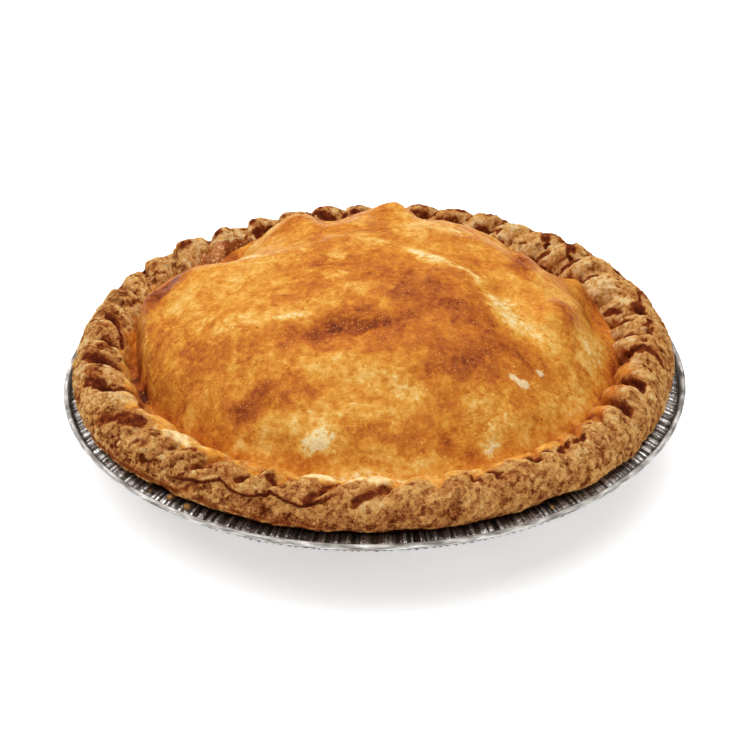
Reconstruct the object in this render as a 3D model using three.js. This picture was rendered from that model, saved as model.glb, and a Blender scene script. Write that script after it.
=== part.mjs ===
// A whole apple pie with a domed lid and a rope-crimped edge, in its round foil tin.
// Millimetres, +Z up. The origin is in the middle of the tin's flat base, and -Y is
// the side of the pie that is looked at from the front.
import * as THREE from "three";

// The foil tin. Its line runs from the middle of the base up the wall and out to the edge.
const BASE_RADIUS = 84;
const WALL_RADIUS = 111; // where the wall meets the flange
const EDGE_RADIUS = 122.2; // outside of the rolled edge
const FLANGE_HEIGHT = 27.4; // underside of the flange at the wall
const FLANGE_RISE = 1.0; // from the wall out to the rolled edge
const FOOT_ROUND = 6; // rounding between base and wall
const FLANGE_ROUND = 1.6; // rounding between wall and flange
const FOIL = 0.6; // thickness of the sheet with its pleats pressed in
const ROLL_RADIUS = 1.5; // of the edge, which is rolled over itself
const ROLL_CORNERS = [135, 60, -15, -90]; // degrees round the roll, from inside to underneath
const PLEATS = 64;
const PLEAT_DEPTH = 0.35; // a pleat swings this far to each side of the sheet's line
const PLEAT_LIFT = 0.5; // and down by this share of it
const CURVE_POINTS = 2; // pieces that a rounding is drawn with
const BLUNTEST = 0.5; // cosine that bounds how far a sharp bend moves the sheet's other side

// The pie. Heights with "above the rim" are measured from RIM.
const RIM = 29; // height of the tin's rim
const CRIMPS = 42;
const CRIMP_DRIFT = 1.8; // degrees that crimps made by hand stray from an even pitch
const CRIMP_DRIFT_WAVES = 3; // round the edge
const CRIMP_DRIFT_START = 60; // degrees
const COLUMNS_PER_CRIMP = 4;
const LID_RADIUS = 96; // middle of the groove between the lid and the rope edge
const LID_TOP = 42; // above the rim
const VALLEY = 7; // the groove between lid and rope, above the rim
const LID_FLATNESS = 3; // power of the lid's plan: higher is flatter on top
const EDGE_FALL = 0.59; // power of the drop at the lid's edge: lower is steeper
const EDGE_FALL_FRONT = 0.4; // added towards the front, where it runs down more gently
const EDGE_FALL_RIGHT = 0.19; // added on the right, and taken away on the steep left
const WIDE_GROOVE = 0.035; // the lid's foot steps back by this share on its left
const WIDE_GROOVE_AT = 200; // degrees round
const SWELL_FADE = 10; // swells fade out over the outermost tenth of the lid
const SCALLOP_FADE = 12; // power by which the edge's scallops fade towards the middle
const LID_RINGS = 8;
const ROPE_RADIUS = 106.4; // middle of the rope edge's section
const ROPE_WIDTH = 10.9; // half the width of the section
const ROPE_TOP = 16.4; // crest above the rim, halfway between front and back
const ROPE_TILT = 2.6; // the crest is this much higher at the back and lower at the front
const ROPE_MIDDLE = 4.4; // widest level of the section, above the rim
const ROPE_UNDERCUT = 4; // depth of the section below its widest level
const ROPE_START = 165; // degrees round the section, where it meets the lid
const ROPE_END = -58; // and where it goes down into the tin
const ROPE_STEPS = 11;
const LOBE = 3.4; // how far a crimp's lobe stands out over the grooves beside it
const LOBE_LEAST = 0.75; // share of that which the smallest lobe has
const LOBE_SPREAD = 0.5; // and what the largest has on top of it
const LOBE_MEAN = 0.6; // share of a lobe's height that lies inside the even section
const LOBE_LEAN = 0.85; // under 1 the lobe's crest leans towards its first side
const LOBE_FULLNESS = 0.7; // under 1 the lobes are full and the grooves narrow
const LOBE_FADE = [20, 90]; // degrees round the section, over which the lobes grow upwards
const LOBE_SLANT = 1.25; // of a crimp's pitch, from the lid's side over to the outside
const BED_RADIUS = 113.4; // the crust lies in the tin up to here
const PIE_GAP = 0.8; // between the crust and the line of the tin's sheet

// Apple pieces and dips under the lid: place, reach along and across, turn and rise.
const LID_SWELLS = [
  { x: -93, y: 12, along: 28, across: 6, turn: 100, rise: 10 }, // steep left shoulder
  { x: -64, y: 58, along: 33, across: 20, turn: 135, rise: -20 }, // dip where juice ran out
  { x: -33, y: 65, along: 15, across: 17, turn: 0, rise: 4 }, // back left hill
  { x: -17, y: 68, along: 8, across: 13, turn: 0, rise: -8 }, // saddle beside it
  { x: 10, y: 73, along: 9, across: 15, turn: 0, rise: 6 }, // knob at the back
  { x: 21, y: 72, along: 6, across: 13, turn: 0, rise: -5 }, // its steep right side
  { x: 73, y: 46, along: 19, across: 17, turn: 130, rise: -9 }, // low back right
  { x: 86, y: 27, along: 8, across: 8, turn: 110, rise: 8 }, // shoulder in it
  { x: 95, y: 10, along: 18, across: 11, turn: 95, rise: -12 }, // low right edge
  { x: 70, y: -20, along: 14, across: 11, turn: 70, rise: 3.5 }, // knob on the right
  { x: 50, y: -14, along: 30, across: 9, turn: 110, rise: -3 }, // trough before it
  { x: 12, y: -14, along: 44, across: 26, turn: 150, rise: 2.5 }, // middle slices
  { x: -30, y: 14, along: 34, across: 9, turn: 25, rise: 2.4 },
  { x: -46, y: -38, along: 22, across: 18, turn: 40, rise: 2.6 },
  { x: 34, y: -58, along: 28, across: 14, turn: 165, rise: 2.4 },
  { x: -8, y: -40, along: 40, across: 8, turn: 10, rise: -1.6 }, // crease in front
];

const TAU = 2 * Math.PI;
const radians = THREE.MathUtils.degToRad;

// A number from 0 to 1 for each whole number, always the same one.
function dice(n) {
  const x = Math.sin(n * 12.9898 + 4.1) * 43758.5453;
  return x - Math.floor(x);
}

// Moves a line in the (radius, height) plane to its left by a distance.
function offsetLine(line, distance) {
  return line.map((point, i) => {
    const before = line[Math.max(i - 1, 0)];
    const after = line[Math.min(i + 1, line.length - 1)];
    const toHere = point.clone().sub(before).normalize();
    const onward = after.clone().sub(point).normalize();
    const along = toHere.clone().add(onward).normalize();
    const normal = new THREE.Vector2(-along.y, along.x);
    const sharpness = Math.max(along.dot(i ? toHere : onward), BLUNTEST);
    return point.clone().addScaledVector(normal, distance / sharpness);
  });
}

// The outside of the tin's sheet: flat base, rounded foot, sloping wall, flange.
function tinLine() {
  const wall = new THREE.Vector2(WALL_RADIUS - BASE_RADIUS, FLANGE_HEIGHT).normalize();
  const foot = new THREE.Vector2(BASE_RADIUS, 0);
  const shoulder = new THREE.Vector2(WALL_RADIUS, FLANGE_HEIGHT);
  const path = new THREE.Path();
  path.moveTo(0, 0);
  path.lineTo(BASE_RADIUS - FOOT_ROUND, 0);
  path.quadraticCurveTo(...foot, ...foot.clone().addScaledVector(wall, FOOT_ROUND));
  path.lineTo(...shoulder.clone().addScaledVector(wall, -FLANGE_ROUND));
  path.quadraticCurveTo(...shoulder, WALL_RADIUS + FLANGE_ROUND, FLANGE_HEIGHT);
  path.lineTo(EDGE_RADIUS - 2 * ROLL_RADIUS, FLANGE_HEIGHT + FLANGE_RISE);
  return path.getPoints(CURVE_POINTS);
}

// Skins a stack of rings, from the pole on top to the pole underneath. A ring is an
// array of points, anticlockwise from above, and each pole is an array of one.
function skin(rings) {
  const columns = Math.max(...rings.map((ring) => ring.length));
  const starts = [];
  const points = [];
  for (const ring of rings) {
    starts.push(points.length);
    points.push(...ring);
  }
  const corner = (ring, column) => starts[ring] + (column % rings[ring].length);
  const index = [];
  for (let ring = 0; ring < rings.length - 1; ring++) {
    for (let column = 0; column < columns; column++) {
      const a = corner(ring, column);
      const b = corner(ring + 1, column);
      const c = corner(ring + 1, column + 1);
      const d = corner(ring, column + 1);
      if (b !== c) index.push(a, b, c);
      if (a !== d) index.push(a, c, d);
    }
  }
  const geometry = new THREE.BufferGeometry().setFromPoints(points);
  geometry.setIndex(index);
  geometry.computeVertexNormals();
  return geometry;
}

// A ring round the axis, from a function that gives each column its polar place.
function ringOf(columns, place) {
  return Array.from({ length: columns }, (_, column) => {
    const { angle, radius, height } = place(column);
    return new THREE.Vector3(radius * Math.cos(angle), radius * Math.sin(angle), height);
  });
}

// The tin: the sheet's inside, the rolled edge and the sheet's outside, with pleats
// that zigzag from column to column wherever the sheet isn't flat on the table.
function tinGeometry() {
  const under = tinLine();
  const over = offsetLine(under, FOIL);
  const rollRadius = EDGE_RADIUS - ROLL_RADIUS;
  const rollHeight = FLANGE_HEIGHT + FLANGE_RISE + FOIL / 2;
  const roll = ROLL_CORNERS.map((degrees) => {
    const radius = rollRadius + ROLL_RADIUS * Math.cos(radians(degrees));
    return new THREE.Vector2(radius, rollHeight + ROLL_RADIUS * Math.sin(radians(degrees)));
  });
  const profile = [...over, ...roll, ...under.reverse()];
  const columns = 2 * PLEATS;
  const rings = profile.map(({ x: radius, y: height }) => {
    if (radius === 0) return [new THREE.Vector3(0, 0, height)];
    const pleated = radius > BASE_RADIUS && radius < EDGE_RADIUS - 2 * ROLL_RADIUS;
    return ringOf(columns, (column) => {
      const swing = pleated ? PLEAT_DEPTH * (column % 2 ? 1 : -1) : 0;
      const angle = (TAU * column) / columns;
      return { angle, radius: radius + swing, height: height - swing * PLEAT_LIFT };
    });
  });
  return skin(rings);
}

// Height of the lid above the rim, at a place given by its angle and its share of the
// way from the middle out to the rope edge.
function lidHeight(angle, share) {
  const x = LID_RADIUS * share * Math.cos(angle);
  const y = LID_RADIUS * share * Math.sin(angle);
  const front = Math.max(-Math.sin(angle), 0);
  const fall = EDGE_FALL + EDGE_FALL_FRONT * front + EDGE_FALL_RIGHT * Math.cos(angle);
  const left = Math.max(Math.cos(angle - radians(WIDE_GROOVE_AT)), 0);
  const reach = share * (1 + WIDE_GROOVE * left * left);
  const dome = Math.pow(Math.max(1 - Math.pow(reach, LID_FLATNESS), 0), fall);
  const inside = Math.min(1, SWELL_FADE * (1 - share));
  let swell = 0;
  for (const { x: middleX, y: middleY, along, across, turn, rise } of LID_SWELLS) {
    const c = Math.cos(radians(turn));
    const s = Math.sin(radians(turn));
    const u = ((x - middleX) * c + (y - middleY) * s) / along;
    const v = ((y - middleY) * c - (x - middleX) * s) / across;
    swell += rise * Math.exp(-(u * u + v * v));
  }
  return VALLEY + (LID_TOP - VALLEY) * dome + swell * inside;
}

// Where a crimp lies round the edge. The pitch is uneven, as crimps made by hand are.
function crimpAngle(crimp) {
  const even = (TAU * crimp) / CRIMPS;
  const drift = Math.sin(CRIMP_DRIFT_WAVES * even - radians(CRIMP_DRIFT_START));
  return even + radians(CRIMP_DRIFT) * drift;
}

// How far the rope stands out at a crimp, from 0 in a groove to about 1 on a lobe.
function lobeRise(crimp) {
  const whole = Math.floor(crimp + 0.5);
  const across = crimp + 0.5 - whole;
  const size = LOBE_LEAST + LOBE_SPREAD * dice(THREE.MathUtils.euclideanModulo(whole, CRIMPS));
  return size * Math.pow(Math.sin(Math.PI * Math.pow(across, LOBE_LEAN)), LOBE_FULLNESS);
}

// One point of the rope edge, at a crimp and at an angle round the rope's section:
// 180 degrees faces the lid, 90 is the crest and 0 faces out over the tin.
function ropePoint(crimp, around) {
  const slant = (LOBE_SLANT * (around - 90)) / 180;
  const angle = crimpAngle(crimp + slant);
  const top = ROPE_TOP + ROPE_TILT * Math.sin(angle) - ROPE_MIDDLE;
  const turn = radians(around);
  const outward = Math.cos(turn);
  const upward = Math.sin(turn);
  const lobes = THREE.MathUtils.smoothstep(around, ...LOBE_FADE);
  const out = LOBE * lobes * (lobeRise(crimp) - LOBE_MEAN);
  return {
    angle,
    radius: ROPE_RADIUS + (ROPE_WIDTH + out) * outward,
    height: RIM + ROPE_MIDDLE + (upward > 0 ? top + out : ROPE_UNDERCUT) * upward,
  };
}

// The pie is one solid: lid, rope edge, and the base crust that fills the tin.
function pieGeometry() {
  const columns = CRIMPS * COLUMNS_PER_CRIMP;
  const crimpOf = (column) => column / COLUMNS_PER_CRIMP;
  const rings = [[new THREE.Vector3(0, 0, RIM + lidHeight(0, 0))]];
  for (let ring = 1; ring < LID_RINGS; ring++) {
    const share = Math.sin((Math.PI / 2) * (ring / LID_RINGS));
    rings.push(
      ringOf(columns, (column) => {
        const edge = ropePoint(crimpOf(column), ROPE_START);
        const scallop = (edge.radius - LID_RADIUS) * Math.pow(share, SCALLOP_FADE);
        const height = RIM + lidHeight(edge.angle, share);
        return { angle: edge.angle, radius: LID_RADIUS * share + scallop, height };
      }),
    );
  }
  for (let step = 0; step <= ROPE_STEPS; step++) {
    const around = THREE.MathUtils.lerp(ROPE_START, ROPE_END, step / ROPE_STEPS);
    rings.push(ringOf(columns, (column) => ropePoint(crimpOf(column), around)));
  }
  const bed = offsetLine(tinLine(), FOIL + PIE_GAP).reverse();
  for (const { x: radius, y: height } of bed) {
    if (radius > BED_RADIUS) continue;
    if (radius === 0) {
      rings.push([new THREE.Vector3(0, 0, height)]);
      continue;
    }
    rings.push(
      ringOf(columns, (column) => {
        const { angle } = ropePoint(crimpOf(column), ROPE_END);
        return { angle, radius, height };
      }),
    );
  }
  return skin(rings);
}

function piece(name, geometry, material) {
  const mesh = new THREE.Mesh(geometry, material);
  mesh.name = name;
  return mesh;
}

const foil = new THREE.MeshStandardMaterial({ color: 0xc4c5c7, roughness: 0.32, metalness: 1 });
const pastry = new THREE.MeshStandardMaterial({ color: 0xcf8f42, roughness: 0.55, metalness: 0 });

const pie = new THREE.Group();
pie.add(piece("foil_tin", tinGeometry(), foil));
pie.add(piece("pie", pieGeometry(), pastry));

export default pie;
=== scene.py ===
"""A whole baked apple pie with a rope-crimped edge, in its pleated foil tin."""

import itertools
import math
from functools import partial
from types import SimpleNamespace

import bpy
import numpy as np
from mathutils import Matrix


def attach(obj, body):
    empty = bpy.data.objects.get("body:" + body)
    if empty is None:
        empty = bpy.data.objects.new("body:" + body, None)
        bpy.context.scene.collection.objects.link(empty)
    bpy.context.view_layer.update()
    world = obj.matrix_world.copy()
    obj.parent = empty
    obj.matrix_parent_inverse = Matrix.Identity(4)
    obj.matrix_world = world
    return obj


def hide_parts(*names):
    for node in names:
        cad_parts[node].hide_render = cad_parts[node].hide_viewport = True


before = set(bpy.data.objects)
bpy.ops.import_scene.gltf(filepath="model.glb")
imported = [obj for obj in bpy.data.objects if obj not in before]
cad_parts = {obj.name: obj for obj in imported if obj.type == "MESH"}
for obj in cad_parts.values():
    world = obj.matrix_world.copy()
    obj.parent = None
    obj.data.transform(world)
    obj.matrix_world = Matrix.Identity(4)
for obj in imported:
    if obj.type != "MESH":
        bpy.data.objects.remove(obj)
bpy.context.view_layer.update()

MM = 0.001  # lengths below are in millimetres, and Blender's are in metres
TAU = 2 * math.pi

# The foil tin, as in the CAD model, with its real pleats
BASE_RADIUS = 84
WALL_RADIUS = 111
EDGE_RADIUS = 121.7
FLANGE_HEIGHT = 27.4
FLANGE_RISE = 1.0
FLANGE_FALLS = [(113, 0), (114.6, 0.12), (116, 0.4), (117.2, 0.8), (118.4, 1.25), (119.1, 2.4)]
FLANGE_MIDDLE = 117.0  # where the spacing of the pleats is read
FOOT_ROUND = 6
FLANGE_ROUND = 1.6
FOIL = 0.3
ROLL_RADIUS = 1.0
ROLL_TURN = (215, -90, 11)  # the roll's first and last degrees, and its points
PLEATS = 280  # about 2.6 mm apart on the flange
COLUMNS_PER_PLEAT = 7
PLEAT_DEPTH = 0.45

# The pie, as in the CAD model. Heights above the rim are measured from RIM.
RIM = 29
CRIMPS = 42
CRIMP_DRIFT = 1.8
CRIMP_DRIFT_WAVES = 3
CRIMP_DRIFT_START = 60
LID_RADIUS = 96
LID_TOP = 42
VALLEY = 7
LID_FLATNESS = 3
EDGE_FALL = 0.59
EDGE_FALL_FRONT = 0.4
EDGE_FALL_RIGHT = 0.19
WIDE_GROOVE = 0.035
WIDE_GROOVE_AT = 200
SWELL_FADE = 10
ROPE_RADIUS = 106.4
ROPE_WIDTH = 10.9
ROPE_TOP = 16.4
ROPE_TILT = 2.6
ROPE_MIDDLE = 4.4
ROPE_UNDERCUT = 4
LOBE = 3.4
LOBE_MEAN = 0.6
LOBE_LEAN = 0.85
TEETH_AT = 130  # degrees round, where the lobes lean over like teeth
TEETH_REACH = 24
TEETH_LEAN = 1.1
LOBE_FULLNESS = 0.7
LOBE_SLANT = 1.25
PIE_GAP = 0.8
LID_COLUMNS = 760
LID_ROWS = 112
COLUMNS_PER_CRIMP = 24
SEEN_ROWS = (196, -50, 80)  # the rope's first and last degrees round its section, and its rows
HIDDEN_ROWS = (-62, -152, 10)  # the same under it
UNROLLED_RADIUS = 107  # where the rope's surface is measured as if unrolled
MM_PER_TURN = math.radians(UNROLLED_RADIUS)  # for each degree round the pie
MM_PER_AROUND = 0.21  # and for each degree round the rope's section

# Apple pieces and dips under the lid: x, y, reach along and across, turn, rise
LID_SWELLS = [
    (-93, 12, 28, 6, 100, 10),
    (-64, 58, 33, 20, 135, -20),
    (-33, 65, 15, 17, 0, 4),
    (-17, 68, 8, 13, 0, -8),
    (10, 73, 9, 15, 0, 6),
    (21, 72, 6, 13, 0, -5),
    (73, 46, 19, 17, 130, -9),
    (86, 27, 8, 8, 110, 8),
    (95, 10, 18, 11, 95, -12),
    (70, -20, 14, 11, 70, 3.5),
    (50, -14, 30, 9, 110, -3),
    (12, -14, 44, 26, 150, 2.5),
    (-30, 14, 34, 9, 25, 2.4),
    (-46, -38, 22, 18, 40, 2.6),
    (34, -58, 28, 14, 165, 2.4),
    (-8, -40, 40, 8, 10, -1.6),
]

# Where the lid browned in the oven, or stayed pale: x, y, reach along and across, turn, bake
BROWNED = [
    # the brown plateau right of the middle, and darker places on it
    (27, -31, 33, 20, 104, 0.19),
    (41, -42, 17, 10, 128, 0.08),
    (38, -57, 8, 6, 0, 0.20),
    (25, -65, 8, 6, 5, 0.10),
    (5, -52, 16, 4, 0, 0.14),
    (-38, -43, 10, 8, 30, 0.12),
    (2, -11, 16, 4, 175, 0.15),
    (-24, -39, 6, 3, 0, 0.14),
    (57, -47, 10, 8, 140, 0.16),
    (12, -22, 12, 6, 170, 0.16),
    (30, -60, 22, 5, 0, 0.06),
    (31, -22, 11, 8, 100, 0.05),
    (6, -41, 11, 6, 10, 0.14),
    (45, -47, 11, 6, 140, 0.06),
    (24, -57, 10, 8, 100, 0.08),
    (0, -2, 16, 8, 150, 0.10),
    # the dark band in front of the middle
    (-11, -41, 21, 4.4, 6, 0.28),
    (-13, -40, 11, 2.5, 6, 0.18),
    (-6, -34, 15, 5, 2, 0.22),
    (-26, -18, 12, 8, 5, 0.16),
    (-18, -48, 15, 6, 175, 0.10),
    (-31, -66, 8, 9, 0, 0.10),
    # on the left
    (-78, -20, 8, 4, 60, 0.26),
    (-64, -47, 9, 11, 20, 0.24),
    (-51, -51, 9, 7, 30, 0.14),
    (-71, -31, 5, 8, 30, 0.20),
    (-87, -17, 7, 3, 95, 0.14),
    (-85, -32, 5, 4, 100, 0.14),
    (-56, -29, 6, 3, 20, 0.10),
    (-44, -68, 8, 6, 15, 0.32),
    (-82, -6, 10, 5, 80, 0.04),
    (-80, 11, 20, 6, 64, 0.42),
    (-86.6, -38, 5.5, 3.4, 110, 0.42),
    (-88, -20, 16, 5, 96, 0.12),
    (-78, -38, 5, 12, 10, 0.10),
    (-34, -50, 7, 3, 0, 0.08),
    # at the back
    (-21, 18, 30, 4.5, 93, 0.10),
    (-15, 8, 32, 28, 0, 0.08),
    (-61, 67, 5, 6, 0, 0.30),
    (4, 44, 34, 6, 90, 0.12),
    (-36, 61, 6, 3, 0, 0.12),
    (35, 10, 9, 6, 40, 0.08),
    (37, 55, 26, 8, 95, 0.07),
    (59, 17, 14, 5.5, 94, 0.36),
    (64, 55, 8, 4, 100, 0.14),
    (70, 70, 8, 5, 130, 0.14),
    # the knob on the right, and the rim beyond it
    (72, -18, 5.5, 7, 10, 0.30),
    (71, -27, 8, 3, 80, 0.14),
    (86, 8, 16, 6, 78, 0.14),
    (92, -26, 26, 4, 74, 0.20),
    (86, -46, 13, 4, 58, 0.14),
    # along the front
    (1, -83, 17, 3, 174, 0.22),
    (27, -84, 8, 2.8, 172, 0.20),
    (-24, -87, 8, 2.5, 0, 0.26),
    (-25, -66, 14, 3, 170, 0.10),
    (-34, -79, 16, 3, 165, 0.10),
    (-58, -76, 20, 4, 135, 0.14),
    (-92, -26, 20, 4, 100, 0.22),
]
PALE = [
    (18, 11, 8, 2.2, 140, 0.42),
    (23, 6, 8, 4.6, 120, 0.36),
    (33, 0, 7, 2.2, 140, 0.36),
    (38, -7, 4, 2, 130, 0.28),
    (3, 20, 7, 3, 160, 0.16),
    (48, -25, 5.5, 11, 20, 0.28),
    (59, -31, 10, 6, 140, 0.20),
    (51, -17, 9, 4, 0, 0.20),
    (83, -27, 11, 6, 70, 0.25),
    (5, -77, 9, 3, 0, 0.12),
    (72, -51, 13, 8, 30, 0.13),
    (64, -61, 6, 4, 30, 0.12),
    (38, -71, 9, 9, 0, 0.20),
    (66, 2, 8, 16, 20, 0.10),
    (-9, -20, 8, 3.5, 0, 0.05),
    (-28, -34, 7, 2, 6, 0.26),
    (-40, -17, 13, 9, 20, 0.08),
    (-28, -40, 8, 4, 10, 0.10),
    (-4, 23, 8, 7, 0, 0.12),
    (-43, -77, 20, 3.4, 0, 0.12),
    (13, -69, 7, 4, 170, 0.20),
    (-48, -37, 7, 7, 40, 0.15),
    (-47, 65, 9, 7, 20, 0.15),
    (7, -90, 10, 3, 0, 0.15),
    (-15, 9, 5, 4, 20, 0.28),
    (-14, -7, 5, 3.5, 10, 0.22),
    (-63, -26, 8, 4, 45, 0.16),
    (2, -65, 9, 5, 0, 0.14),
    (-15, -58, 8, 4, 0, 0.12),
    (-73, -36, 9, 2.0, 60, 0.06),
    (-55, -34, 9, 3, 118, 0.10),
    (-74, -12, 11, 4, 60, 0.16),
    (-84, -32, 13, 2.6, 108, 0.14),
    (-88, -12, 10, 2.0, 95, 0.24),
    (-40, 6, 24, 10, 40, 0.10),
    (-53, 30, 22, 3, 128, 0.26),
    (-45, 40, 22, 12, 130, 0.10),
    (-35, -32, 9, 5, 20, 0.12),
    (-48, -52, 14, 6, 10, 0.10),
    (-23, -61, 9, 5, 5, 0.08),
    (-18.8, -83, 5.8, 3.6, 0, 0.52),
    (-10, -79, 8, 4, 0, 0.12),
    (40, -83, 3.5, 2, 20, 0.42),
    (50, -74, 15, 6, 30, 0.08),
    (-5, -97, 18, 4, 0, 0.50),
    (-68, -77, 8, 4, 130, 0.32),
    (24, 50, 18, 16, 0, 0.08),
    (34, 44, 3, 2, 0, 0.30),
    (18, 40, 9, 14, 0, 0.12),
    (33, 78, 8, 4, 150, 0.14),
]
FLAKES_BARE = [
    (49.0, -58.1, 1.7, 1.2, 20, 1.2),
    (52.5, -58.6, 2.9, 1.6, 26, 1.2),
    (59.7, -50.3, 1.5, 1.1, 40, 1.1),
]
# Ledges and folds of the lid over single slices, too small for the CAD model
LID_FOLDS = [
    (27, -31, 33, 20, 104, 1.5),
    (70, -21, 9, 7, 60, 1.8),
    (61, 25, 11, 5, 97, 1.6),
    (-11, -41, 21, 4, 6, -1.0),
    (-46, -40, 10, 20, 30, 1.2),
    (-62, -14, 20, 5, 55, -1.2),
    (-72, 10, 18, 6, 70, 1.0),
    (-30, 10, 22, 7, 30, 0.4),
    (-50, 50, 26, 12, 112, 3.2),
    (-52, 8, 12, 6, 175, -1.0),
    (-8, -19, 10, 5, 0, 1.2),
    (4, -58, 20, 8, 175, 1.2),
    (-44, -70, 9, 6, 15, -0.8),
    (50, -72, 16, 6, 35, 1.0),
    (84, -4, 14, 5, 80, -1.2),
    (22, 44, 9, 22, 10, 1.0),
    (-30, -84, 20, 4, 165, -0.8),
]

# Toasted marks on the rope edge, as strokes: degrees round and degrees round the section
# at one end and the other, half width in mm, depth of the toast
TOASTED = [
    (92, 100, 97, 112, 1.6, 0.9),
    (100, 118, 104, 98, 2.0, 0.9),
    (102, 122, 105, 110, 1.2, 0.8),
    (115, 108, 121, 126, 2.2, 0.8),
    (150, 118, 154, 95, 1.0, 0.5),
    (161, 112, 163, 88, 1.0, 0.5),
    (165, 126, 167, 118, 0.9, 0.6),
    (173.5, 90, 176.5, 116, 2.0, 1.0),
    (176.5, 116, 184, 138, 1.2, 0.95),
    (179, 96, 181, 78, 1.0, 0.5),
    (183, 94, 186, 124, 1.5, 0.85),
    (187.5, 92, 186.5, 122, 1.5, 0.95),
    (188, 54, 191, 84, 1.5, 0.85),
    (191, 80, 195, 124, 2.8, 1.0),
    (195, 86, 200, 74, 2.2, 0.6),
    (198, 56, 203, 88, 2.0, 0.95),
    (203, 86, 205.5, 126, 3.0, 1.0),
    (205, 142, 217, 120, 2.0, 0.55),
    (211, 50, 218.5, 90, 2.4, 0.85),
    (222, 55, 224, 62, 1.0, 0.5),
    (228, 82, 234, 93, 1.2, 0.6),
    (236, 64, 239, 78, 1.3, 0.7),
    (242, 72, 243, 64, 0.9, 0.6),
    (245.5, 68, 247.5, 88, 1.6, 0.9),
    (250.5, 92, 252, 72, 1.0, 0.8),
    (236, 15, 237.5, 35, 1.6, 0.5),
    (258.5, 52, 261, 78, 1.6, 0.8),
    (260, 75, 263, 104, 1.0, 0.7),
    (266.5, 53, 269, 70, 1.4, 1.0),
    (269, 70, 273, 98, 1.6, 0.75),
    (282, 66, 284, 75, 1.0, 0.4),
    (287.3, 100, 288.5, 80, 1.7, 0.7),
    (291.5, 98, 292.5, 82, 1.3, 0.95),
    (293.5, 70, 295, 62, 1.0, 0.5),
    (300, 100, 301, 84, 1.4, 0.9),
    (303.2, 98, 304.5, 92, 1.2, 0.7),
    (306.3, 81, 308.3, 93, 1.6, 0.95),
    (310.3, 82, 312.8, 95, 1.6, 0.9),
    (318, 90, 319, 84, 1.0, 0.5),
    (325.4, 72, 326, 92, 1.9, 1.0),
    (326, 92, 327.5, 140, 2.8, 0.66),
    (334.8, 82, 335.3, 98, 2.0, 1.0),
    (335.4, 98, 337, 140, 2.6, 0.62),
    (340.5, 75, 342.5, 86, 1.6, 0.8),
    (342.5, 86, 343.5, 122, 1.3, 0.7),
    (344.5, 58, 347, 84, 1.6, 0.75),
    (347.6, 92, 349.6, 142, 1.8, 0.9),
    (354.5, 108, 358, 160, 1.9, 0.9),
    (356, 90, 359, 78, 1.6, 0.7),
    (359, 95, 361.5, 70, 1.3, 0.75),
    (362, 118, 366.5, 168, 1.5, 0.78),
    (363.5, 85, 366, 98, 1.6, 0.9),
    (364, 88, 368, 94, 1.7, 1.0),
    (368, 88, 373, 62, 1.4, 0.75),
    (368, 130, 371, 150, 1.4, 0.78),
    (378, 80, 381, 60, 1.2, 0.6),
    (384.5, 114, 387, 145, 1.7, 0.78),
    (386, 142, 391, 146, 1.7, 0.42),
    (392.5, 116, 395.5, 152, 2.5, 0.7),
    (396, 156, 407, 156, 1.5, 0.5),
    (395, 112, 400, 70, 1.8, 0.9),
    (401, 128, 403.5, 150, 1.6, 0.66),
    (403, 110, 408, 68, 1.6, 0.9),
    (408, 128, 416, 140, 0.7, 0.6),
    (417, 90, 418, 60, 0.8, 0.6),
    (417, 118, 422, 126, 1.7, 0.75),
    (426, 106, 433, 118, 2.2, 0.65),
    (435, 102, 441, 118, 2.3, 0.85),
    # on the outside at the back
    (22, 40, 25, 62, 1.3, 0.8),
    (39, 35, 42, 60, 1.4, 0.9),
    (57, 50, 59, 62, 1.5, 0.7),
    (75, 42, 79, 66, 1.3, 0.9),
    (101, 40, 105, 62, 1.5, 0.8),
    (119, 52, 122, 64, 1.2, 0.7),
    (128, 30, 131, 58, 1.2, 0.8),
    (148, 36, 151, 60, 1.5, 0.9),
    (158, 50, 161, 64, 1.1, 0.6),
]
# Where the egg wash of the lid ends on the edge: degrees round, degrees round the section
WASH_EDGE = [
    (0, 148), (8, 160), (20, 168), (45, 160), (75, 152), (110, 142), (135, 150), (150, 138),
    (160, 128), (170, 152), (178, 142), (190, 132), (200, 124), (207, 112), (215, 100), (225, 92),
    (235, 94), (245, 98), (255, 92), (262, 95), (270, 88), (280, 95), (290, 98), (300, 100),
    (320, 100), (338, 100), (345, 112), (352, 118), (360, 148),
]
# Crumbly ridges of the folds that reach through the wash on the right, as strokes
TONGUES = [
    (343, 92, 346, 118, 1.3, 1),
    (349, 105, 356, 162, 1.5, 1),
    (357, 118, 364, 172, 1.7, 1),
    (370, 110, 374, 165, 2.6, 1),
    (377, 120, 381, 160, 3.4, 1),
    (329, 84, 331, 104, 1.5, 1),
]
# Glossy brown bands between the folds on the left and right
GLOSSY = [
    (174, 104, 190, 150, 2.6, 0.42),
    (188, 60, 197, 74, 3.2, 0.46),
    (189, 88, 196, 140, 3.4, 0.36),
    (197, 72, 201, 118, 2.2, 0.34),
    (205, 135, 217, 132, 2.6, 0.38),
    (152, 138, 163, 152, 2.6, 0.36),
    (326, 88, 329, 140, 2.2, 0.36),
    (336, 96, 339, 140, 2.4, 0.36),
    (343, 120, 347, 100, 1.4, 0.36),
    (348, 100, 350, 152, 1.8, 0.38),
    (356, 110, 359, 160, 1.8, 0.38),
    (364, 96, 368, 150, 1.8, 0.30),
    (368, 84, 374, 62, 1.8, 0.36),
]
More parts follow.
